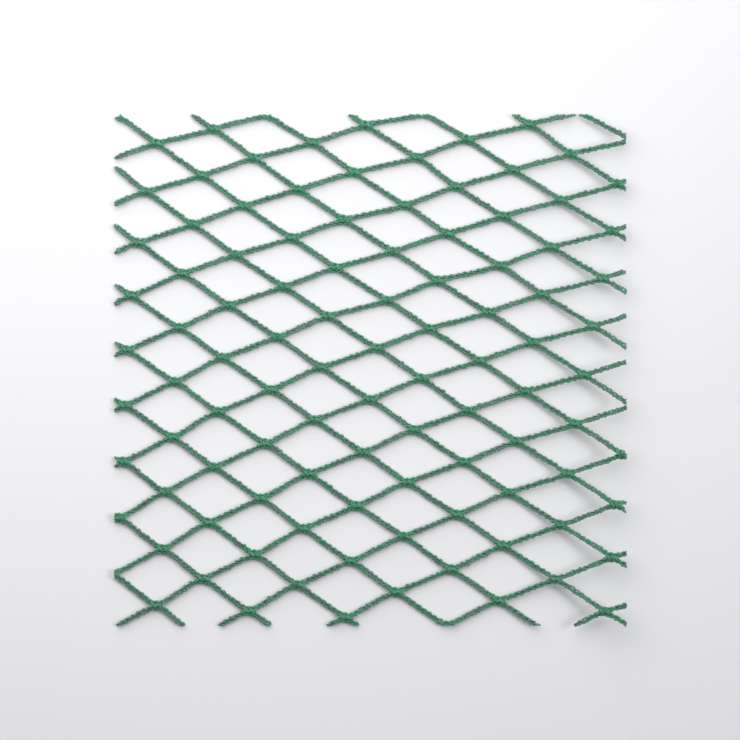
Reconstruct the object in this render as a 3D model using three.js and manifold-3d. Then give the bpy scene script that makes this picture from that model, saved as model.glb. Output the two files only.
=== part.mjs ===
// A cut length of knotless diamond-mesh fishing net, spread out on a flat surface.
// Millimetres, +Z up. The net rests on z = 0, and the origin is the middle of the cut length.
// It is made of runs: a run is one twine that zigzags from the left side to the right side.
// At its upper turns a run is knitted to the run above it, and at its lower turns to the run below.
// Each such place is a junction, counted by a column along the runs and a row across them.

import * as THREE from "three";
import { mergeVertices } from "three/addons/utils/BufferGeometryUtils.js";
import Module from "manifold-3d";

// Mesh and cut length
const MESH_SIDE = 10;
const CUT_WIDTH = 9 * MESH_SIDE;
const CUT_DEPTH = 9 * MESH_SIDE;

// Twine between the junctions, a hexagon that lies on a flat of this share of its width
const TWINE_WIDTH = 1.15;
const TWINE_HEIGHT = 1.0;
const FLAT_SHARE = 0.5;

// The section's corners are counted from the right over the top
const SECTION_CORNERS = 8;
const TOP_CORNER = 1;
const BOTTOM_CORNER = 5;

// Junction, where two twines are knitted side by side. In its middle they stand higher than elsewhere,
// and a groove is left between them above and below.
const KNOT_LENGTH = 2.4;
const KNOT_WIDTH = 1.85;
const KNOT_HEIGHT = 1.3;
const GROOVE_DEPTH = 0.2;

// Places of the junctions of five guide runs, in mesh sides, at three columns.
// Odd rows have their junctions at odd columns, and even rows at even ones.
const GUIDE_COLUMNS = [-6, 0, 6];
const GUIDE_RUNS = [
  { row: -12, x: [-4.00, 1.15, 6.57], y: [5.97, 5.42, 4.50] },
  { row: -6, x: [-4.68, 0.55, 6.18], y: [3.70, 2.93, 2.22] },
  { row: 0, x: [-5.07, 0.11, 5.65], y: [0.89, 0.39, -0.36] },
  { row: 6, x: [-5.13, -0.25, 5.26], y: [-2.09, -2.39, -2.94] },
  { row: 12, x: [-5.47, -0.54, 5.04], y: [-5.06, -5.35, -5.81] },
];

// Even rows lie this far along and across, and odd rows as far the other way
const ROW_SHIFT = { x: 0.022, y: -0.009 };

// Junctions that are pulled out of line, in mesh sides
const TUGS = [
  { column: 3, row: -11, x: 0.00, y: -0.07 },
  { column: 0, row: -10, x: 0.00, y: -0.06 },
  { column: 2, row: -10, x: 0.06, y: 0.00 },
  { column: -3, row: -9, x: 0.00, y: -0.05 },
  { column: 0, row: -8, x: 0.07, y: -0.01 },
  { column: 2, row: -8, x: -0.05, y: 0.02 },
  { column: 4, row: -8, x: -0.07, y: 0.02 },
  { column: -2, row: -6, x: -0.05, y: 0.01 },
  { column: 0, row: -6, x: 0.05, y: -0.02 },
  { column: 2, row: -6, x: -0.05, y: 0.03 },
  { column: 2, row: -4, x: 0.06, y: -0.01 },
  { column: -4, row: -2, x: -0.05, y: 0.03 },
  { column: 0, row: -2, x: 0.05, y: -0.02 },
  { column: 2, row: 2, x: -0.06, y: 0.00 },
  { column: -4, row: 6, x: -0.06, y: 0.02 },
  { column: 1, row: 7, x: 0.05, y: 0.00 },
  { column: 5, row: 7, x: 0.05, y: -0.01 },
];

// The rows and columns that are laid out before the sides are cut
const FIRST_COLUMN = -7;
const LAST_COLUMN = 7;
const FIRST_RUN = -13;
const LAST_RUN = 12;

// The right side stands off the surface, most at the near corner
const LIFT_START = 20;
const LIFT_FAR_CORNER = 1.6;
const LIFT_NEAR_CORNER = 4.4;

const NET_COLOUR = "#35805a";

// A smooth curve through evenly spaced values, carried on straight beyond its ends
function throughEvenValues(values, first, step, at) {
  const place = (at - first) / step;
  const last = values.length - 1;
  const index = Math.min(Math.max(Math.floor(place), 0), last - 1);
  const from = values[index];
  const to = values[index + 1];
  const before = index > 0 ? values[index - 1] : 2 * from - to;
  const after = index < last - 1 ? values[index + 2] : 2 * to - from;
  const t = place - index;
  const slopeIn = (to - before) / 2;
  const slopeOut = (after - from) / 2;
  const t2 = t * t;
  const t3 = t2 * t;
  return from * (2 * t3 - 3 * t2 + 1) + slopeIn * (t3 - 2 * t2 + t)
    + to * (3 * t2 - 2 * t3) + slopeOut * (t3 - t2);
}

// A parabola through the three values that a guide run has at the guide columns
function throughGuideColumns(values, column) {
  const reach = GUIDE_COLUMNS[2];
  const t = column / reach;
  const slope = (values[2] - values[0]) / 2;
  const bend = (values[2] + values[0]) / 2 - values[1];
  return values[1] + slope * t + bend * t * t;
}

function guided(axis, column, row) {
  const values = GUIDE_RUNS.map((run) => throughGuideColumns(run[axis], column));
  return throughEvenValues(values, GUIDE_RUNS[0].row, GUIDE_RUNS[1].row - GUIDE_RUNS[0].row, row);
}

// Middle of a junction, seen from above
function junction(column, row) {
  const side = row % 2 === 0 ? 1 : -1;
  const tug = TUGS.find((t) => t.column === column && t.row === row) ?? { x: 0, y: 0 };
  return new THREE.Vector2(
    MESH_SIDE * (guided("x", column, row) + side * ROW_SHIFT.x + tug.x),
    MESH_SIDE * (guided("y", column, row) + side * ROW_SHIFT.y + tug.y),
  );
}

// A junction seen from above: its middle, the way the runs pass through it, and the way across them
function junctionFrame(column, row) {
  const along = junction(column + 2, row).sub(junction(column - 2, row)).normalize();
  return { middle: junction(column, row), along, across: new THREE.Vector2(-along.y, along.x) };
}

function liftAt(spot) {
  const across = Math.max(0, (spot.x - LIFT_START) / (CUT_WIDTH / 2 - LIFT_START));
  const toNear = 0.5 - spot.y / CUT_DEPTH;
  return THREE.MathUtils.lerp(LIFT_FAR_CORNER, LIFT_NEAR_CORNER, toNear) * across * across;
}

// Three stations of a run at a junction: where its twine meets the neighbour, the middle, and where
// they part. side is 1 where the run passes above the middle of the junction, and -1 where below.
// Both twines share the touch line, which opens from a point at each end to a flat face between them.
function knotStations(column, row, side) {
  const { middle, along, across } = junctionFrame(column, row);
  return [-1, 0, 1].map((end) => {
    const inMiddle = end === 0;
    const width = inMiddle ? KNOT_WIDTH / 2 : TWINE_WIDTH;
    const height = inMiddle ? KNOT_HEIGHT : TWINE_HEIGHT;
    const touch = middle.clone().addScaledVector(along, end * KNOT_LENGTH / 2);
    const spot = touch.clone().addScaledVector(across, side * width / 2);
    const groove = inMiddle ? GROOVE_DEPTH : height / 2;
    return { spot, width, height, side, touch, touchLow: groove, touchHigh: height - groove };
  });
}

// The stations of a run. Its upper turns are on its own row, and its lower turns one row further.
function runStations(run) {
  const stations = [];
  for (let column = FIRST_COLUMN; column <= LAST_COLUMN; column += 1) {
    const upper = (column - run) % 2 === 0;
    stations.push(...knotStations(column, upper ? run : run + 1, upper ? -1 : 1));
  }
  return stations;
}

// The corners of the twine's section at a station. Those of a side without a neighbour lie in one
// point, so there the section is a hexagon.
function sectionCorners(station, across) {
  const { spot, width, height, side, touch, touchLow, touchHigh } = station;
  const corner = (sideways, up) => {
    const at = spot.clone().addScaledVector(across, sideways * width);
    return new THREE.Vector3(at.x, at.y, liftAt(spot) + up);
  };
  const touchCorner = (up) => new THREE.Vector3(touch.x, touch.y, liftAt(touch) + up);
  const outer = corner(side / 2, height / 2);
  const right = side > 0 ? [touchCorner(touchLow), touchCorner(touchHigh)] : [outer, outer];
  const left = side > 0 ? [outer, outer] : [touchCorner(touchHigh), touchCorner(touchLow)];
  const top = [corner(-FLAT_SHARE / 2, height), corner(FLAT_SHARE / 2, height)];
  const bottom = [corner(FLAT_SHARE / 2, 0), corner(-FLAT_SHARE / 2, 0)];
  return [right[1], ...top, ...left, ...bottom, right[0]];
}

// A cylinder whose rings are moved to the stations, each turned half way between its two stretches
function twineGeometry(stations) {
  const last = stations.length - 1;
  const rings = stations.map((station, index) => {
    const before = stations[Math.max(index - 1, 0)].spot;
    const after = stations[Math.min(index + 1, last)].spot;
    const into = station.spot.clone().sub(before).normalize();
    const out = after.clone().sub(station.spot).normalize();
    const along = into.add(out).normalize();
    return sectionCorners(station, new THREE.Vector2(-along.y, along.x));
  });
  const geometry = new THREE.CylinderGeometry(1, 1, 1, SECTION_CORNERS, last);
  const position = geometry.attributes.position;
  for (let vertex = 0; vertex < position.count; vertex += 1) {
    const x = position.getX(vertex);
    const z = position.getZ(vertex);
    const ring = rings[Math.round((0.5 - position.getY(vertex)) * last)];
    const turn = Math.round(Math.atan2(x, z) / (2 * Math.PI) * SECTION_CORNERS);
    const isCapMiddle = Math.hypot(x, z) < 0.5;
    const spot = isCapMiddle
      ? ring[TOP_CORNER].clone().add(ring[BOTTOM_CORNER]).multiplyScalar(0.5)
      : ring[(turn + SECTION_CORNERS) % SECTION_CORNERS];
    position.setXYZ(vertex, spot.x, spot.y, spot.z);
  }
  return geometry;
}

const wasm = await Module();
wasm.setup();

// Turns a closed geometry into a solid that can be joined and cut, without the triangles that have two
// corners in one point
function toSolid(geometry) {
  geometry.deleteAttribute("normal");
  geometry.deleteAttribute("uv");
  const merged = mergeVertices(geometry);
  const corners = merged.index.array;
  const kept = [];
  for (let first = 0; first < corners.length; first += 3) {
    const triangle = corners.slice(first, first + 3);
    if (new Set(triangle).size === 3) {
      kept.push(...triangle);
    }
  }
  return new wasm.Manifold(new wasm.Mesh({
    numProp: 3,
    vertProperties: new Float32Array(merged.attributes.position.array),
    triVerts: new Uint32Array(kept),
  }));
}

function toGeometry(solid) {
  const mesh = solid.getMesh();
  const geometry = new THREE.BufferGeometry();
  geometry.setAttribute("position", new THREE.BufferAttribute(mesh.vertProperties, 3));
  geometry.setIndex(new THREE.BufferAttribute(mesh.triVerts, 1));
  return geometry;
}

// All runs joined, cut straight on the four sides
function buildNet() {
  let net = toSolid(twineGeometry(runStations(FIRST_RUN)));
  for (let run = FIRST_RUN + 1; run <= LAST_RUN; run += 1) {
    net = net.add(toSolid(twineGeometry(runStations(run))));
  }
  const cutter = new THREE.BoxGeometry(CUT_WIDTH, CUT_DEPTH, 2 * MESH_SIDE);
  return net.intersect(toSolid(cutter));
}

const netMaterial = new THREE.MeshStandardMaterial({ color: NET_COLOUR, roughness: 0.6, metalness: 0 });

const netGeometry = toGeometry(buildNet());
netGeometry.computeVertexNormals();

const net = new THREE.Mesh(netGeometry, netMaterial);
net.name = "net";

const part = new THREE.Group();
part.add(net);

export default part;
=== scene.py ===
"""A cut length of knotless lift net, knitted stitch by stitch from green yarn, lying on a pale surface.

Metres, +Z up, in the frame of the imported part. Each run of the net is a chain of knitted loops with a
laid-in yarn behind it. Where two runs meet they are knitted side by side, and the laid-in yarns cross.
"""

import logging
import math
from collections.abc import Sequence
from dataclasses import dataclass, field
from enum import Enum

import bpy
import numpy as np
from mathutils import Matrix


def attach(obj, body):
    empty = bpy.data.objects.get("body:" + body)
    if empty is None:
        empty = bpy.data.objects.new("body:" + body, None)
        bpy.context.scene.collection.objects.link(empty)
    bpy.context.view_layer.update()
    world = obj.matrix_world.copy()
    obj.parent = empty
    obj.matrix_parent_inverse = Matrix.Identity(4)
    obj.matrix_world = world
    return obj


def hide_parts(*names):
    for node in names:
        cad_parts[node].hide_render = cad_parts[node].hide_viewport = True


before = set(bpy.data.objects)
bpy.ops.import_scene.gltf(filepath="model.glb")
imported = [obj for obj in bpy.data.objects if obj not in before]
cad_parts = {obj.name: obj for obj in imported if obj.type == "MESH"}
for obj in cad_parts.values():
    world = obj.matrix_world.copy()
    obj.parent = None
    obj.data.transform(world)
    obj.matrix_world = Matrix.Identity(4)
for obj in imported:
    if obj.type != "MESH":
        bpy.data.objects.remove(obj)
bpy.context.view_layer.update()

logging.basicConfig(level=logging.INFO, format="%(message)s")
LOG = logging.getLogger("net")

MM = 0.001
NODE = "net"
BODY = "root"


class Tone(Enum):
    """The two shades of green that the yarn shows, as linear colours."""

    BRIGHT = (0.040, 0.323, 0.166)
    GREY = (0.130, 0.238, 0.194)


class Side(Enum):
    """Which way a run turns at a junction, counted across the run to its left."""

    UPPER_TURN = -1
    LOWER_TURN = 1


@dataclass(frozen=True)
class Guide:
    """Places of the junctions of one guide run at the guide columns, in mesh sides."""

    row: int
    x: tuple[float, float, float]
    y: tuple[float, float, float]


@dataclass(frozen=True)
class Tug:
    """One junction that is pulled out of line, in mesh sides."""

    column: int
    row: int
    x: float
    y: float


@dataclass(frozen=True)
class Lattice:
    """Where the junctions of the net lie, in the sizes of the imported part."""

    mesh_side: float = 10 * MM
    twine_width: float = 1.15 * MM
    twine_height: float = 1.0 * MM
    knot_length: float = 2.4 * MM
    knot_width: float = 1.85 * MM
    knot_height: float = 1.3 * MM
    row_shift: tuple[float, float] = (0.022, -0.009)
    columns: range = range(-7, 8)
    half_width: float = 45 * MM
    half_depth: float = 45 * MM
    lift_start: float = 20 * MM
    lift_far_corner: float = 1.6 * MM
    lift_near_corner: float = 4.4 * MM
    guide_reach: int = 6
    guides: tuple[Guide, ...] = (
        Guide(-12, (-4.00, 1.15, 6.57), (5.97, 5.42, 4.50)),
        Guide(-6, (-4.68, 0.55, 6.18), (3.70, 2.93, 2.22)),
        Guide(0, (-5.07, 0.11, 5.65), (0.89, 0.39, -0.36)),
        Guide(6, (-5.13, -0.25, 5.26), (-2.09, -2.39, -2.94)),
        Guide(12, (-5.47, -0.54, 5.04), (-5.06, -5.35, -5.81)),
    )
    tugs: tuple[Tug, ...] = (
        Tug(3, -11, 0.00, -0.07),
        Tug(0, -10, 0.00, -0.06),
        Tug(2, -10, 0.06, 0.00),
        Tug(-3, -9, 0.00, -0.05),
        Tug(0, -8, 0.07, -0.01),
        Tug(2, -8, -0.05, 0.02),
        Tug(4, -8, -0.07, 0.02),
        Tug(-2, -6, -0.05, 0.01),
        Tug(0, -6, 0.05, -0.02),
        Tug(2, -6, -0.05, 0.03),
        Tug(2, -4, 0.06, -0.01),
        Tug(-4, -2, -0.05, 0.03),
        Tug(0, -2, 0.05, -0.02),
        Tug(2, 2, -0.06, 0.00),
        Tug(-4, 6, -0.06, 0.02),
        Tug(1, 7, 0.05, 0.00),
        Tug(5, 7, 0.05, -0.01),
    )

    def _through_columns(self, values: tuple[float, float, float], column: int) -> float:
        """A parabola through the three values that a guide run has at the guide columns.

        Args:
            values: The values at the left, middle and right guide columns.
            column: The column to find the value for.

        Returns:
            The value at the column.
        """
        t = column / self.guide_reach
        bend = (values[2] + values[0]) / 2 - values[1]
        return values[1] + (values[2] - values[0]) / 2 * t + bend * t * t

    def _through_rows(self, values: list[float], row: int) -> float:
        """A smooth curve through the guide runs, carried on straight beyond the outer ones.

        Args:
            values: The value of each guide run, evenly spaced.
            row: The row to find the value for.

        Returns:
            The value at the row.
        """
        place = (row - self.guides[0].row) / (self.guides[1].row - self.guides[0].row)
        last = len(values) - 1
        index = min(max(math.floor(place), 0), last - 1)
        start, end = values[index], values[index + 1]
        before = values[index - 1] if index > 0 else 2 * start - end
        after = values[index + 2] if index < last - 1 else 2 * end - start
        t = place - index
        slope_in = (end - before) / 2
        slope_out = (after - start) / 2
        return (
            start * (2 * t**3 - 3 * t**2 + 1)
            + slope_in * (t**3 - 2 * t**2 + t)
            + end * (3 * t**2 - 2 * t**3)
            + slope_out * (t**3 - t**2)
        )

    def junction(self, column: int, row: int) -> np.ndarray:
        """The middle of a junction seen from above.

        Args:
            column: The junction's column, 0 in the middle of the net.
            row: The junction's row, 0 in the middle of the net and rising to the near side.

        Returns:
            The x and y of the junction in metres.
        """
        side = 1 if row % 2 == 0 else -1
        tug = next((t for t in self.tugs if (t.column, t.row) == (column, row)), Tug(0, 0, 0, 0))
        x = self._through_rows([self._through_columns(g.x, column) for g in self.guides], row)
        y = self._through_rows([self._through_columns(g.y, column) for g in self.guides], row)
        return self.mesh_side * np.array(
            [x + side * self.row_shift[0] + tug.x, y + side * self.row_shift[1] + tug.y]
        )

    def lift(self, spots: np.ndarray) -> np.ndarray:
        """How far the net stands off the surface at spots seen from above.

        Args:
            spots: Places as rows of x and y.

        Returns:
            The height under the net at each place.
        """
        across = np.clip((spots[:, 0] - self.lift_start) / (self.half_width - self.lift_start), 0, None)
        to_near = 0.5 - spots[:, 1] / (2 * self.half_depth)
        corner = self.lift_far_corner + (self.lift_near_corner - self.lift_far_corner) * to_near
        return corner * across**2


def lengths_along(line: np.ndarray) -> np.ndarray:
    """The length from the start of a line to each of its points."""
    return np.concatenate([[0], np.cumsum(np.linalg.norm(np.diff(line, axis=0), axis=1))])


@dataclass
class RunLine:
    """The middle line of one run as a dense row of places, with its own sideways and upward directions.

    The rounding is the width of the bell curve that smooths the corners, cut off at its reach times that
    width. The line's direction at a place is taken from some steps before it to as many after it.
    """

    lattice: Lattice
    run: int
    step: float = 0.1 * MM
    rounding: float = 0.55 * MM
    rounding_reach: int = 3
    aim_steps: int = 3
    knot_reach: float = 1.25 * MM
    knot_fade: float = 0.45 * MM
    points: np.ndarray = field(init=False)
    lengths: np.ndarray = field(init=False)
    knot_lengths: np.ndarray = field(init=False)
    knot_sides: np.ndarray = field(init=False)

    def __post_init__(self) -> None:
        """Lays the line through the run's stations and rounds its corners."""
        stations, middles, sides = self._stations()
        flat = self._rounded(stations)
        self.lengths = lengths_along(flat)
        self.knot_sides = sides
        self.knot_lengths = np.array(
            [self.lengths[np.argmin(np.linalg.norm(flat - middle, axis=1))] for middle in middles]
        )
        self.points = np.column_stack([flat, self.lattice.lift(flat)])

    def _stations(self) -> tuple[np.ndarray, np.ndarray, np.ndarray]:
        """The places that the run passes: three at each junction.

        Returns:
            The stations, the middle station of each junction, and which side of it the run is on.
        """
        net = self.lattice
        stations, middles, sides = [], [], []
        for column in net.columns:
            upper = (column - self.run) % 2 == 0
            row = self.run if upper else self.run + 1
            side = (Side.UPPER_TURN if upper else Side.LOWER_TURN).value
            along = net.junction(column + 2, row) - net.junction(column - 2, row)
            along = along / np.linalg.norm(along)
            across = np.array([-along[1], along[0]])
            for end in (-1, 0, 1):
                width = net.knot_width / 2 if end == 0 else net.twine_width
                touch = net.junction(column, row) + along * end * net.knot_length / 2
                stations.append(touch + across * side * width / 2)
            middles.append(stations[-2])
            sides.append(side)
        return np.array(stations), np.array(middles), np.array(sides)

    def _rounded(self, stations: np.ndarray) -> np.ndarray:
        """The line through the stations in even steps, its corners rounded.

        Args:
            stations: Places as rows of x and y.

        Returns:
            The dense places.
        """
        reach = lengths_along(stations)
        even = np.arange(0, reach[-1], self.step)
        line = np.column_stack([np.interp(even, reach, stations[:, axis]) for axis in (0, 1)])
        half = int(self.rounding_reach * self.rounding / self.step)
        weights = np.exp(-0.5 * (np.arange(-half, half + 1) * self.step / self.rounding) ** 2)
        weights = weights / weights.sum()
        padded = np.pad(line, ((half, half), (0, 0)), mode="edge")
        return np.column_stack([np.convolve(padded[:, axis], weights, mode="valid") for axis in (0, 1)])

    def _spots(self, lengths: np.ndarray) -> np.ndarray:
        """Places on the line at lengths along it, a row for each length."""
        return np.column_stack([np.interp(lengths, self.lengths, self.points[:, axis]) for axis in range(3)])

    def at(self, lengths: np.ndarray) -> tuple[np.ndarray, np.ndarray, np.ndarray]:
        """Places on the line and the directions there.

        Args:
            lengths: Lengths along the line.

        Returns:
            The places, the unit vectors to the left and the unit vectors up, a row for each length.
        """
        aim = self.aim_steps * self.step
        ahead = self._spots(lengths + aim) - self._spots(lengths - aim)
        ahead = ahead / np.linalg.norm(ahead, axis=1, keepdims=True)
        left = np.column_stack([-ahead[:, 1], ahead[:, 0], np.zeros(len(ahead))])
        left = left / np.linalg.norm(left, axis=1, keepdims=True)
        return self._spots(lengths), left, np.cross(ahead, left)

    def knot(self, lengths: np.ndarray) -> tuple[np.ndarray, np.ndarray]:
        """How far a place belongs to a junction, from 0 to 1, and which way its neighbour lies.

        Args:
            lengths: Lengths along the line.

        Returns:
            The share of a junction at each length, and 1 or -1 where the neighbour is to the left or right.
        """
        away = np.abs(lengths[:, None] - self.knot_lengths[None, :])
        nearest = np.argmin(away, axis=1)
        gap = away[np.arange(len(lengths)), nearest]
        share = 1 / (1 + np.exp((gap - self.knot_reach) / (self.knot_fade / 2)))
        return share, -self.knot_sides[nearest]

    def course_lengths(self, courses: np.ndarray, per_bar: int) -> np.ndarray:
        """Lengths along the line of the courses, with the same number of courses in each bar.

        Args:
            courses: Course numbers, 0 at the first junction.
            per_bar: Courses from one junction to the next.

        Returns:
            The length at each course.
        """
        knots = np.arange(len(self.knot_lengths)) * per_bar
        return np.interp(courses, knots, self.knot_lengths)


@dataclass(frozen=True)
class LoopPoint:
    """One point of a yarn's way: along in courses, left and up in metres from the run's middle."""

    along: float
    left: float
    up: float


@dataclass(frozen=True)
class Yarn:
    """A yarn of thin strands twisted together, swept along a path."""

    strands: int = 2
    strand_radius: float = 0.145 * MM
    strand_offset: float = 0.115 * MM
    sides: int = 4
    turn_length: float = 1.7 * MM


@dataclass
class Strand:
    """One swept strand: rings of corners with an attribute value for each ring."""

    rings: np.ndarray
    tone: np.ndarray
    knot: np.ndarray


@dataclass
class YarnSweep:
    """Sweeps the strands of a yarn along its path, and cuts them at the sides of the net.

    A strand runs on past its last point inside the cut. Both run-ons are shares of the way to the next
    point: the least one at the cut, and the one of a path that ends before it reaches the cut.
    """

    yarn: Yarn
    lattice: Lattice
    shortest: float = 1.6 * MM
    fewest_points: int = 3
    least_run_on: float = 0.05
    loose_run_on: float = 0.5

    def strands(self, path: np.ndarray, knot: np.ndarray, rng: np.random.Generator) -> list[Strand]:
        """All strands of one yarn.

        Args:
            path: The middle line of the yarn, a row for each point.
            knot: The share of a junction at each point.
            rng: The source of the seeded irregularities.

        Returns:
            The strands that lie inside the cut.
        """
        found = []
        for start, stop in self._kept_stretches(path):
            line = self._trimmed(path, start, stop)
            share = np.concatenate([[knot[start]], knot[start:stop], [knot[stop - 1]]])
            found.extend(self._twisted(line, share, rng))
        return found

    def _inside(self, path: np.ndarray) -> np.ndarray:
        """Whether each point lies inside the cut."""
        net = self.lattice
        return (np.abs(path[:, 0]) < net.half_width) & (np.abs(path[:, 1]) < net.half_depth)

    def _kept_stretches(self, path: np.ndarray) -> list[tuple[int, int]]:
        """The stretches of a path inside the cut that are long enough to stay in the net.

        Args:
            path: The middle line of the yarn.

        Returns:
            The first point and the one past the last for each stretch.
        """
        inside = np.concatenate([[False], self._inside(path), [False]])
        changes = np.flatnonzero(inside[1:] != inside[:-1])
        kept = []
        for start, stop in zip(changes[::2], changes[1::2]):
            length = np.linalg.norm(np.diff(path[start:stop], axis=0), axis=1).sum()
            if stop - start >= self.fewest_points and length > self.shortest:
                kept.append((int(start), int(stop)))
        return kept

    def _trimmed(self, path: np.ndarray, start: int, stop: int) -> np.ndarray:
        """A stretch of the path carried on to the cut at both ends.

        Args:
            path: The middle line of the yarn.
            start: The first point inside.
            stop: One past the last point inside.

        Returns:
            The stretch with one point more at each end.
        """
        first = self._on_cut(path[start], path[max(start - 1, 0)])
        last = self._on_cut(path[stop - 1], path[min(stop, len(path) - 1)])
        return np.concatenate([[first], path[start:stop], [last]])

    def _on_cut(self, inner: np.ndarray, outer: np.ndarray) -> np.ndarray:
        """The point between two neighbours of the path where it meets the cut.

        Args:
            inner: The neighbour inside the cut.
            outer: The neighbour outside it.

        Returns:
            The point, never quite on the inner neighbour.
        """
        limits = np.array([self.lattice.half_width, self.lattice.half_depth])
        move = (outer - inner)[:2]
        far = np.abs(outer[:2]) > limits
        if not far.any():
            return inner + (outer - inner) * self.loose_run_on
        share = ((np.sign(outer[:2]) * limits - inner[:2])[far] / move[far]).min()
        return inner + (outer - inner) * max(share, self.least_run_on)

    def _twisted(self, line: np.ndarray, knot: np.ndarray, rng: np.random.Generator) -> list[Strand]:
        """The strands round one stretch of the middle line.

        Args:
            line: The stretch of the middle line.
            knot: The share of a junction at each point.
            rng: The source of the seeded irregularities.

        Returns:
            The strands.
        """
        yarn = self.yarn
        ahead, first, second = carried_frames(line)
        turn = 2 * math.pi * (lengths_along(line) / yarn.turn_length + rng.random())
        corners = 2 * math.pi * (np.arange(yarn.sides) + 0.5) / yarn.sides
        strands = []
        for index in range(yarn.strands):
            angle = turn + 2 * math.pi * index / yarn.strands
            outward = first * np.cos(angle)[:, None] + second * np.sin(angle)[:, None]
            beside = np.cross(ahead, outward)
            middle = line + outward * yarn.strand_offset
            rings = (
                middle[:, None, :]
                + yarn.strand_radius * np.cos(corners)[None, :, None] * outward[:, None, :]
                + yarn.strand_radius * np.sin(corners)[None, :, None] * beside[:, None, :]
            )
            strands.append(Strand(rings, wandering(len(line), rng), knot))
        return strands


def carried_frames(line: np.ndarray, upright: float = 0.1) -> tuple[np.ndarray, np.ndarray, np.ndarray]:
    """Directions along a line and two across it that turn as little as the line allows.

    Args:
        line: The points of the line.
        upright: How far from upright the first step has to lean to be crossed with the vertical.

    Returns:
        The unit vectors ahead, and two unit vectors across, a row for each point.
    """
    ahead = np.gradient(line, axis=0)
    ahead = ahead / np.linalg.norm(ahead, axis=1, keepdims=True)
    first = np.empty_like(ahead)
    start = np.cross(ahead[0], (0.0, 0.0, 1.0))
    if np.linalg.norm(start) < upright:
        start = np.cross(ahead[0], (0.0, 1.0, 0.0))
    first[0] = start / np.linalg.norm(start)
    for index in range(1, len(line)):
        carried = first[index - 1] - ahead[index] * (first[index - 1] @ ahead[index])
        first[index] = carried / math.sqrt(carried @ carried)
    return ahead, first, np.cross(ahead, first)


def wandering(count: int, rng: np.random.Generator, marks_every: int = 9) -> np.ndarray:
    """Smooth seeded values from 0 to 1, one for each of count points."""
    marks = rng.random(count // marks_every + 3)
    return np.interp(np.arange(count) / marks_every, np.arange(len(marks)), marks)


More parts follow.
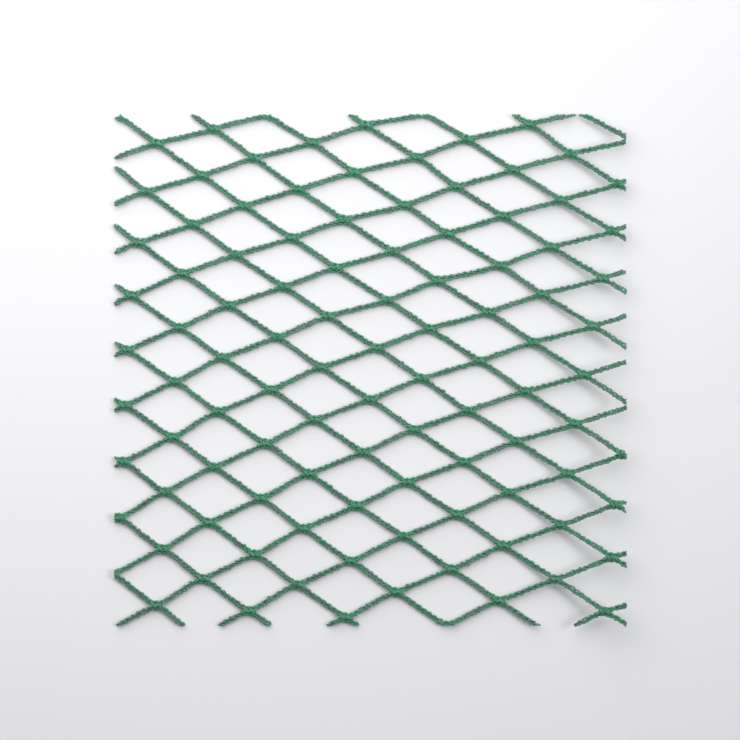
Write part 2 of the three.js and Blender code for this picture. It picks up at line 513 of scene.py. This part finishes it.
@dataclass
class KnittedRun:
    """One run of the net: a chain of loops and the yarn laid in behind it.

    The crossing holds the laid-in yarn's way from the middle of a junction outwards, the same on both
    sides of it. Slack is the spread of the seeded irregularities.
    """

    line: RunLine
    seed: int
    courses_per_bar: int = 9
    chain: Yarn = Yarn()
    inlay: Yarn = Yarn(strand_radius=0.16 * MM, strand_offset=0.13 * MM, turn_length=2.2 * MM)
    loop: tuple[LoopPoint, ...] = (
        LoopPoint(-0.08, -0.09 * MM, -0.02 * MM),
        LoopPoint(0.10, -0.13 * MM, 0.15 * MM),
        LoopPoint(0.38, -0.24 * MM, 0.23 * MM),
        LoopPoint(0.72, -0.29 * MM, 0.18 * MM),
        LoopPoint(1.02, -0.22 * MM, 0.06 * MM),
        LoopPoint(1.16, -0.05 * MM, -0.02 * MM),
        LoopPoint(1.18, 0.12 * MM, -0.01 * MM),
        LoopPoint(1.09, 0.31 * MM, 0.08 * MM),
        LoopPoint(0.84, 0.37 * MM, 0.18 * MM),
        LoopPoint(0.44, 0.24 * MM, 0.26 * MM),
        LoopPoint(0.12, 0.09 * MM, 0.16 * MM),
        LoopPoint(-0.08, 0.07 * MM, -0.02 * MM),
        LoopPoint(0.02, 0.05 * MM, -0.19 * MM),
        LoopPoint(0.50, 0.00 * MM, -0.24 * MM),
        LoopPoint(0.85, -0.05 * MM, -0.19 * MM),
    )
    laid: tuple[LoopPoint, ...] = (
        LoopPoint(0.00, 0.13 * MM, -0.07 * MM),
        LoopPoint(0.25, 0.05 * MM, -0.02 * MM),
        LoopPoint(0.50, -0.13 * MM, -0.07 * MM),
        LoopPoint(0.75, -0.05 * MM, -0.11 * MM),
    )
    crossing: tuple[LoopPoint, ...] = (
        LoopPoint(0.00, 0.20 * MM, 0.36 * MM),
        LoopPoint(0.21, 0.62 * MM, 0.36 * MM),
        LoopPoint(0.42, 0.84 * MM, 0.26 * MM),
        LoopPoint(0.64, 0.60 * MM, 0.36 * MM),
        LoopPoint(0.88, 0.22 * MM, 0.34 * MM),
        LoopPoint(1.10, 0.06 * MM, 0.18 * MM),
        LoopPoint(1.30, 0.05 * MM, -0.05 * MM),
    )
    crossing_shift: float = 0.125
    crossing_over: float = 0.07 * MM
    crossing_margin: float = 0.1
    knot_squeeze: float = 0.15
    knot_lean: float = 0.10 * MM
    roll: float = math.radians(14)
    along_slack: float = 0.03
    width_slack: float = 0.10
    height_slack: float = 0.06
    jitter: float = 0.035 * MM
    rng: np.random.Generator = field(init=False)

    def __post_init__(self) -> None:
        """Starts the run's own seeded irregularities."""
        self.rng = np.random.default_rng(self.seed)

    def _placed(self, along: np.ndarray, left: np.ndarray, up: np.ndarray) -> tuple[np.ndarray, np.ndarray]:
        """Turns run coordinates into places in the part's frame.

        Args:
            along: Course numbers.
            left: Distances to the left of the run's middle.
            up: Distances above the run's middle.

        Returns:
            The places, and the share of a junction at each.
        """
        net = self.line.lattice
        lengths = self.line.course_lengths(along, self.courses_per_bar)
        spots, sideways, upward = self.line.at(lengths)
        share = self.line.knot(lengths)[0]
        height = net.twine_height + share * (net.knot_height - net.twine_height)
        angle = self.roll * (1 - share) * np.sin(along * math.pi / self.courses_per_bar)
        leftward = left * np.cos(angle) - up * np.sin(angle)
        upright = left * np.sin(angle) + up * np.cos(angle)
        over = height / 2 + upright * height / net.twine_height
        placed = spots + sideways * leftward[:, None] + upward * over[:, None]
        return placed, share

    def _course_count(self) -> int:
        """Courses from the first junction to the last."""
        return (len(self.line.knot_lengths) - 1) * self.courses_per_bar

    def chain_path(self) -> tuple[np.ndarray, np.ndarray]:
        """The path of the yarn that knits the loops.

        Returns:
            The places, and the share of a junction at each.
        """
        table = np.array([(p.along, p.left, p.up) for p in self.loop])
        count = self._course_count()
        courses = np.repeat(np.arange(count), len(table))
        shape = np.tile(table, (count, 1))
        slack = np.repeat(self.rng.normal(0, 1, (count, 3)), len(table), axis=0)
        along = courses + shape[:, 0] + self.along_slack * slack[:, 0]
        lengths = self.line.course_lengths(along, self.courses_per_bar)
        share, neighbour = self.line.knot(lengths)
        left = shape[:, 1] * (1 + self.width_slack * slack[:, 1]) * (1 - self.knot_squeeze * share)
        left = left + share * neighbour * self.knot_lean + self.jitter * slack[:, 2]
        up = shape[:, 2] * (1 + self.height_slack * slack[:, 2])
        return self._placed(along, left, up)

    def _laid_spots(self) -> list[tuple[float, float, float]]:
        """Where the laid-in yarn passes between the junctions.

        Returns:
            Course number, distance to the left and distance up for each point.
        """
        clear = self.crossing[-1].along + self.crossing_margin
        half_bar = self.courses_per_bar / 2
        spots = []
        for course in range(self._course_count()):
            for point in self.laid:
                along = course + point.along
                to_knot = abs((along + half_bar) % self.courses_per_bar - half_bar)
                if to_knot > clear:
                    spots.append((along, point.left, point.up))
        return spots

    def _crossing_spots(self) -> list[tuple[float, float, float]]:
        """Where the laid-in yarn passes at the junctions, over to the neighbour and back.

        Returns:
            Course number, distance to the left and distance up for each point.
        """
        whole = [(-p.along, p.left, p.up) for p in self.crossing[:0:-1]]
        whole.extend((p.along, p.left, p.up) for p in self.crossing)
        spots = []
        for knot, side in enumerate(self.line.knot_sides):
            over = self.crossing_over if side == Side.LOWER_TURN.value else 0.0
            for along, left, up in whole:
                place = knot * self.courses_per_bar + along + self.crossing_shift * side
                spots.append((place, -side * left, up + over))
        return spots

    def inlay_path(self) -> tuple[np.ndarray, np.ndarray]:
        """The path of the laid-in yarn, which crosses over to the neighbour at each junction.

        Returns:
            The places, and the share of a junction at each.
        """
        ordered = np.array(sorted(self._laid_spots() + self._crossing_spots()))
        wobble = self.rng.normal(0, self.jitter / 2, (len(ordered), 2))
        return self._placed(ordered[:, 0], ordered[:, 1] + wobble[:, 0], ordered[:, 2] + wobble[:, 1])

    def strands(self) -> list[Strand]:
        """All strands of the run inside the cut.

        Returns:
            The strands of the chain and of the laid-in yarn.
        """
        found = []
        for yarn, path in ((self.chain, self.chain_path()), (self.inlay, self.inlay_path())):
            sweep = YarnSweep(yarn, self.line.lattice)
            found.extend(sweep.strands(*path, self.rng))
        return found


def maths(
    tree: bpy.types.NodeTree, operation: str, *terms: bpy.types.NodeSocket | float
) -> bpy.types.NodeSocket:
    """Adds a Math node.

    Args:
        tree: The material's nodes.
        operation: What the node works out.
        terms: Its inputs, each a number or another node's output.

    Returns:
        The node's output.
    """
    node = tree.nodes.new("ShaderNodeMath")
    node.operation = operation
    for place, term in zip(node.inputs, terms):
        if isinstance(term, bpy.types.NodeSocket):
            tree.links.new(term, place)
        else:
            place.default_value = term
    return node.outputs[0]


@dataclass(frozen=True)
class YarnFinish:
    """Green polyethylene yarn: a soft gloss, fine filaments, and shades that change along the yarn."""

    name: str = "green net yarn"
    roughness: float = 0.34
    gloss: float = 0.85
    sheen: float = 0.35
    sheen_roughness: float = 0.4
    blotches_per_metre: float = 700.0
    blotch_detail: float = 2.0
    knot_brightness: float = 0.45
    grey_below: float = 0.65
    bright_above: float = 1.40
    filaments: float = 5.0
    filament_depth: float = 0.02 * MM
    bump: float = 0.25

    def material(self) -> bpy.types.Material:
        """Builds the material.

        Returns:
            The material, which reads the piece's strand map and its tone and knot attributes.
        """
        made = bpy.data.materials.new(self.name)
        made.use_nodes = True
        tree = made.node_tree
        shader = tree.nodes["Principled BSDF"]
        shader.inputs["Roughness"].default_value = self.roughness
        shader.inputs["Specular IOR Level"].default_value = self.gloss
        shader.inputs["Sheen Weight"].default_value = self.sheen
        shader.inputs["Sheen Roughness"].default_value = self.sheen_roughness
        tree.links.new(self._green(tree), shader.inputs["Base Color"])
        tree.links.new(self._relief(tree), shader.inputs["Normal"])
        return made

    @staticmethod
    def _read(tree: bpy.types.NodeTree, name: str) -> bpy.types.NodeSocket:
        """Adds a node that reads an attribute of the mesh.

        Args:
            tree: The material's nodes.
            name: The attribute's name.

        Returns:
            The attribute's value.
        """
        node = tree.nodes.new("ShaderNodeAttribute")
        node.attribute_name = name
        return node.outputs["Fac"]

    def _green(self, tree: bpy.types.NodeTree) -> bpy.types.NodeSocket:
        """Mixes the two shades by blotches, by each strand's own tone, and brighter at the junctions.

        Args:
            tree: The material's nodes.

        Returns:
            The colour.
        """
        place = tree.nodes.new("ShaderNodeTexCoord")
        blotch = tree.nodes.new("ShaderNodeTexNoise")
        blotch.inputs["Scale"].default_value = self.blotches_per_metre
        blotch.inputs["Detail"].default_value = self.blotch_detail
        tree.links.new(place.outputs["Object"], blotch.inputs["Vector"])
        share = maths(tree, "ADD", blotch.outputs["Fac"], self._read(tree, "tone"))
        raised = maths(tree, "MULTIPLY_ADD", self._read(tree, "knot"), self.knot_brightness, share)
        spread = tree.nodes.new("ShaderNodeMapRange")
        spread.inputs["From Min"].default_value = self.grey_below
        spread.inputs["From Max"].default_value = self.bright_above
        tree.links.new(raised, spread.inputs["Value"])
        green = tree.nodes.new("ShaderNodeMix")
        green.data_type = "RGBA"
        green.inputs["A"].default_value = (*Tone.GREY.value, 1)
        green.inputs["B"].default_value = (*Tone.BRIGHT.value, 1)
        tree.links.new(spread.outputs["Result"], green.inputs["Factor"])
        return green.outputs["Result"]

    def _relief(self, tree: bpy.types.NodeTree) -> bpy.types.NodeSocket:
        """Raises fine filaments round each strand.

        Args:
            tree: The material's nodes.

        Returns:
            The normal.
        """
        strand_map = tree.nodes.new("ShaderNodeUVMap")
        strand_map.uv_map = "strand"
        apart = tree.nodes.new("ShaderNodeSeparateXYZ")
        tree.links.new(strand_map.outputs["UV"], apart.inputs["Vector"])
        turn = maths(tree, "MULTIPLY", apart.outputs["Y"], 2 * math.pi * self.filaments)
        relief = tree.nodes.new("ShaderNodeBump")
        relief.inputs["Strength"].default_value = self.bump
        relief.inputs["Distance"].default_value = self.filament_depth
        tree.links.new(maths(tree, "SINE", turn), relief.inputs["Height"])
        return relief.outputs["Normal"]


@dataclass
class NetBand:
    """A few neighbouring runs of the net as one mesh."""

    name: str
    runs: list[KnittedRun]
    flat: tuple[float, float]
    finish: bpy.types.Material
    cell_aspect: float = 2.2
    row_gap: float = 0.06
    end_inset: float = 0.1

    def build(self) -> bpy.types.Object:
        """Returns:
            The band.
        """
        strands = [strand for run in self.runs for strand in run.strands()]
        band = bpy.data.objects.new(self.name, self._mesh(strands))
        bpy.context.scene.collection.objects.link(band)
        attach(band, BODY)
        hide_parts(NODE)
        LOG.info("%s: %d strands, %d faces", self.name, len(strands), len(band.data.polygons))
        return band

    def _mesh(self, strands: list[Strand]) -> bpy.types.Mesh:
        """Makes the mesh of all strands, with its two maps and its two attributes.

        Args:
            strands: The strands to join.

        Returns:
            The mesh, dressed.
        """
        corners, faces, tone, knot, bake_map, strand_map = [], [], [], [], [], []
        cells = sum(len(strand.rings) + 1 for strand in strands)
        across = math.ceil(math.sqrt(cells * self.cell_aspect))
        down = math.ceil(cells / across)
        offset, cell = 0, 0
        for strand in strands:
            count, sides = strand.rings.shape[:2]
            corners.append(strand.rings.reshape(-1, 3))
            faces.append(self._tube(count, sides) + offset)
            tone.append(np.repeat(strand.tone, sides))
            knot.append(np.repeat(strand.knot, sides))
            bake_map.append(self._cells(cell, count + 1, across, down, sides))
            strand_map.append(self._round_and_along(count, sides))
            offset += count * sides
            cell += count + 1
        mesh = bpy.data.meshes.new(self.name)
        self._fill(mesh, np.concatenate(corners), np.concatenate(faces))
        self._attribute(mesh, "tone", np.concatenate(tone))
        self._attribute(mesh, "knot", np.concatenate(knot))
        self._uv(mesh, "strand", np.concatenate(strand_map))
        self._uv(mesh, "OFBake", np.concatenate(bake_map))
        mesh.materials.append(self.finish)
        return mesh

    @staticmethod
    def _tube(count: int, sides: int) -> np.ndarray:
        """Corner numbers of a strand's faces: all stretches from ring to ring, then its two ends.

        Args:
            count: Rings of the strand.
            sides: Faces round the strand, four, so that its ends have four corners too.

        Returns:
            Four corner numbers for each face.
        """
        ring = np.arange(sides)
        beside = (ring + 1) % sides
        faces = []
        for low in range(0, (count - 1) * sides, sides):
            high = low + sides
            faces.append(np.stack([low + ring, low + beside, high + beside, high + ring], axis=1))
        faces.append(np.array([ring[::-1], (count - 1) * sides + ring]))
        return np.concatenate(faces)

    def _cells(self, first: int, count: int, across: int, down: int, sides: int) -> np.ndarray:
        """Map corners of the cells that a strand's stretches and its two ends take.

        Args:
            first: Number of the first cell.
            count: How many cells the strand takes, the last two for its ends.
            across: Cells in a row of the map.
            down: Rows of the map.
            sides: Faces round the strand.

        Returns:
            Four map corners for each face, in the order of the faces.
        """
        cell = np.arange(first, first + count)
        left = (cell % across) / across
        low = (cell // across) / down
        wide, high = 1 / across, (1 - self.row_gap) / down
        tubes = []
        for side in range(sides):
            v0, v1 = low[:-2] + high * side / sides, low[:-2] + high * (side + 1) / sides
            tubes.append(self._map_corners(left[:-2], left[:-2] + wide, v0, v1))
        span = 1 - 2 * self.end_inset
        u0, v0 = left[-2:] + self.end_inset * wide, low[-2:] + self.end_inset * high
        ends = self._map_corners(u0, u0 + span * wide, v0, v0 + span * high)
        other_way_round = ends[:, [0, 3, 2, 1]]
        return np.concatenate([np.stack(tubes, axis=1).reshape(-1, 2), other_way_round.reshape(-1, 2)])

    @staticmethod
    def _map_corners(u0: np.ndarray, u1: np.ndarray, v0: np.ndarray, v1: np.ndarray) -> np.ndarray:
        """Four map corners of each face, from its limits across and up."""
        pairs = ((u0, v0), (u0, v1), (u1, v1), (u1, v0))
        return np.stack([np.stack(pair, axis=1) for pair in pairs], axis=1)

    def _round_and_along(self, count: int, sides: int) -> np.ndarray:
        """A map with the ring number along the strand and the share of a turn round it.

        Args:
            count: Rings of the strand.
            sides: Faces round the strand.

        Returns:
            Four map corners for each face, all at zero for the two ends.
        """
        step = np.repeat(np.arange(count - 1), sides)
        side = np.tile(np.arange(sides), count - 1)
        tube = self._map_corners(step, step + 1, side / sides, (side + 1) / sides)
        return np.concatenate([tube.reshape(-1, 2), np.zeros((2 * sides, 2))])

    @staticmethod
    def _fill(mesh: bpy.types.Mesh, corners: np.ndarray, faces: np.ndarray) -> None:
        """Gives a mesh its corners and four-cornered faces, shaded smooth.

        Args:
            mesh: The empty mesh.
            corners: Places, a row for each corner.
            faces: Corner numbers, four for each face.
        """
        mesh.vertices.add(len(corners))
        mesh.vertices.foreach_set("co", corners.astype(np.float32).ravel())
        mesh.loops.add(faces.size)
        mesh.loops.foreach_set("vertex_index", faces.astype(np.int32).ravel())
        mesh.polygons.add(len(faces))
        starts = np.arange(0, faces.size, faces.shape[1], dtype=np.int32)
        mesh.polygons.foreach_set("loop_start", starts)
        mesh.update(calc_edges=True)
        mesh.validate()
        mesh.shade_smooth()

    @staticmethod
    def _attribute(mesh: bpy.types.Mesh, name: str, values: np.ndarray) -> None:
        """Stores one number for each corner of a mesh."""
        mesh.attributes.new(name, "FLOAT", "POINT").data.foreach_set("value", values.astype(np.float32))

    @staticmethod
    def _uv(mesh: bpy.types.Mesh, name: str, values: np.ndarray) -> None:
        """Stores a UV map of a mesh."""
        mesh.uv_layers.new(name=name).data.foreach_set("uv", values.astype(np.float32).ravel())


@dataclass
class Net:
    """The whole cut length, made as bands of runs. Runs further out lie wholly outside the cut."""

    lattice: Lattice = Lattice()
    bands: tuple[range, ...] = (range(-11, -5), range(-5, 0), range(0, 5), range(5, 11))
    seed: int = 41

    def build(self) -> list[bpy.types.Object]:
        """Knits all runs and joins them in bands.

        Returns:
            The bands from the far side to the near side.
        """
        finish = YarnFinish().material()
        count = sum(len(band) for band in self.bands)
        made = []
        for index, band in enumerate(self.bands):
            knitted = [KnittedRun(RunLine(self.lattice, run), self.seed + run) for run in band]
            depth = 2 * self.lattice.half_depth * len(band) / count
            flat = (2 * self.lattice.half_width, depth)
            made.append(NetBand(f"net_band_{index + 1}", knitted, flat, finish).build())
        return made


@dataclass(frozen=True)
class SurfaceFinish:
    """A plain pale surface."""

    name: str = "pale surface"
    colour: tuple[float, float, float] = (0.84, 0.835, 0.86)
    roughness: float = 0.75

    def material(self) -> bpy.types.Material:
        """Builds the material.

        Returns:
            The material, one colour all over.
        """
        made = bpy.data.materials.new(self.name)
        made.use_nodes = True
        shader = made.node_tree.nodes["Principled BSDF"]
        shader.inputs["Base Color"].default_value = (*self.colour, 1)
        shader.inputs["Roughness"].default_value = self.roughness
        return made


@dataclass(frozen=True)
class Lamp:
    """A square soft light that points at the middle of the net, its power in watts."""

    name: str
    place: tuple[float, float, float]
    size: float
    power: float

    def build(self) -> None:
        """Adds the light to the scene."""
        lamp = bpy.data.lights.new(self.name, "AREA")
        lamp.size = self.size
        lamp.energy = self.power
        stand = bpy.data.objects.new(self.name, lamp)
        stand.location = self.place
        stand.rotation_euler = (-stand.location).to_track_quat("-Z", "Y").to_euler()
        bpy.context.scene.collection.objects.link(stand)


@dataclass
class Studio:
    """Pale surface, soft light from the far side and the right, and a camera straight above."""

    frame_width: float = 130.6 * MM
    lens: float = 250.0
    sensor: float = 36.0
    nearest_seen: float = 10 * MM
    floor_size: float = 3.0
    floor_drop: float = 0.02 * MM
    lamps: tuple[Lamp, ...] = (
        Lamp("far light", (-0.06, 0.13, 0.165), 0.32, 0.72),
        Lamp("right light", (0.50, 0.02, 0.50), 0.26, 1.72),
    )
    sky_colour: tuple[float, float, float] = (0.97, 0.98, 1.0)
    sky_strength: float = 0.165

    def build(self) -> None:
        """Adds the floor, the lights, the world and the camera."""
        self._floor()
        for lamp in self.lamps:
            lamp.build()
        self._world()
        self._camera()

    def _floor(self) -> None:
        """Adds the surface just under the net."""
        bpy.ops.mesh.primitive_plane_add(size=self.floor_size, location=(0, 0, -self.floor_drop))
        floor = bpy.context.object
        floor.name = "surface"
        floor.data.materials.append(SurfaceFinish().material())

    def _world(self) -> None:
        """Adds an even pale sky."""
        world = bpy.data.worlds.new("sky")
        world.use_nodes = True
        background = world.node_tree.nodes["Background"]
        background.inputs["Color"].default_value = (*self.sky_colour, 1)
        background.inputs["Strength"].default_value = self.sky_strength
        bpy.context.scene.world = world

    def _camera(self) -> None:
        """Adds a long lens straight above the middle of the net."""
        lens = bpy.data.cameras.new("camera")
        lens.lens = self.lens
        lens.sensor_width = self.sensor
        lens.clip_start = self.nearest_seen
        camera = bpy.data.objects.new("camera", lens)
        camera.location = (0, 0, self.frame_width * self.lens / self.sensor)
        bpy.context.scene.collection.objects.link(camera)
        bpy.context.scene.camera = camera
        bpy.context.scene.view_settings.view_transform = "Standard"


def main() -> None:
    """Builds the studio and the net in it."""
    bpy.ops.object.select_all(action="DESELECT")
    Studio().build()
    bands = Net().build()
    LOG.info("net: %d bands", len(bands))


if __name__ == "__main__":
    main()
